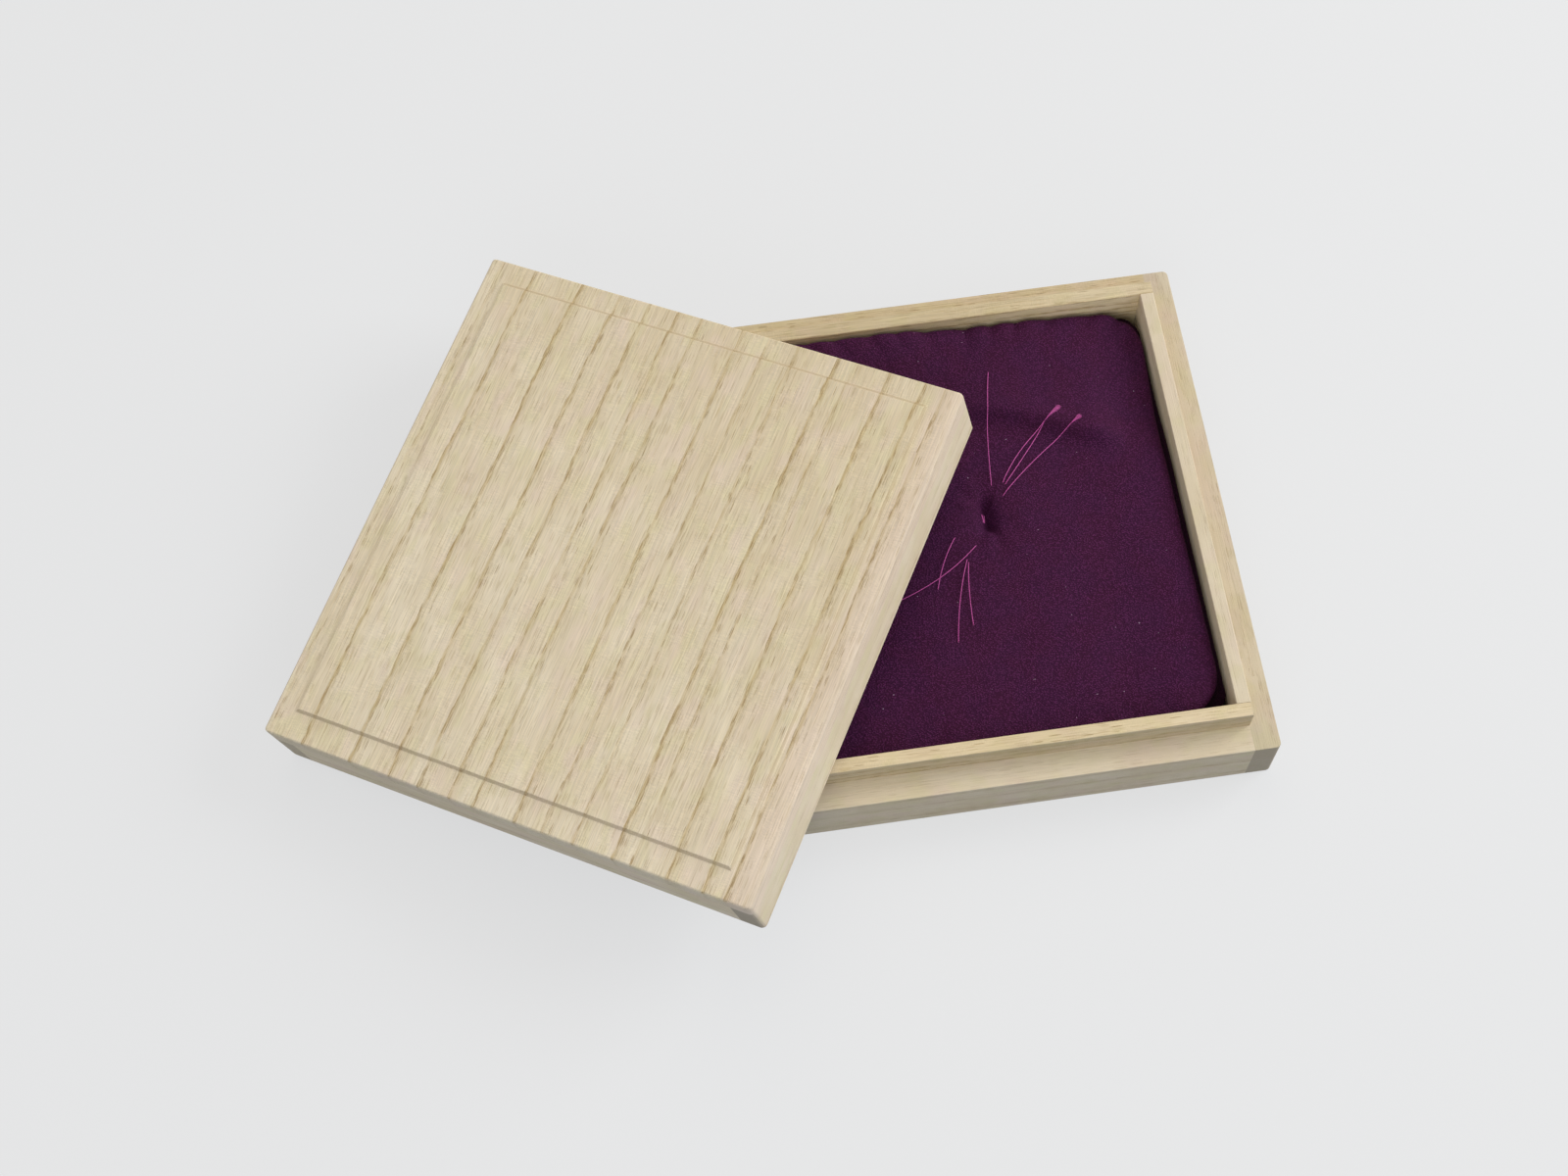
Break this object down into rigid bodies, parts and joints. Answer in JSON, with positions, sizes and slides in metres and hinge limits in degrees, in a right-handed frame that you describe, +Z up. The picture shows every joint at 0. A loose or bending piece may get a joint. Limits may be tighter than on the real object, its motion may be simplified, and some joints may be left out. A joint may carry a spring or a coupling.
{
  "type": "paulownia wood box",
  "caption": "Shallow square paulownia box, opened: lipped tray holding a tufted purple crepe cushion, with the raised-field lid leaning across it.",
  "frame": {"origin": "centre of the tray's underside, where the box stands on the table", "axes": "+X to the tray's right, -Y out of the tray's front face, +Z up; the lid leans over the tray's left side"},
  "size_m": [0.2777, 0.2094, 0.0601],
  "materials": {
    "paulownia": "planed and unfinished, dry and matt",
    "crepe": "crinkled matt crepe",
    "tuft_thread": "sewing thread with a slight sheen"
  },
  "bodies": {
    "tray": {"tray_bottom_board": "paulownia", "tray_left_wall": "paulownia", "tray_right_wall": "paulownia", "tray_front_wall": "paulownia", "tray_back_wall": "paulownia", "lip_front": "paulownia", "lip_back": "paulownia", "lip_left": "paulownia", "lip_right": "paulownia"},
    "cushion": {"cushion": "crepe", "tuft_stitch": "tuft_thread"},
    "lid": {"lid_top_board": "paulownia", "lid_left_wall": "paulownia", "lid_right_wall": "paulownia", "lid_front_wall": "paulownia", "lid_back_wall": "paulownia"}
  },
  "joints": [
    {"name": "cushion_lift", "type": "slide", "parent": "tray", "child": "cushion", "axis": [0, 0, 1], "range_m": [0, 0.03]},
    {"name": "lid_lift", "type": "slide", "parent": "cushion", "child": "lid", "axis": [0, 0, 1], "range_m": [0, 0.12]}
  ]
}
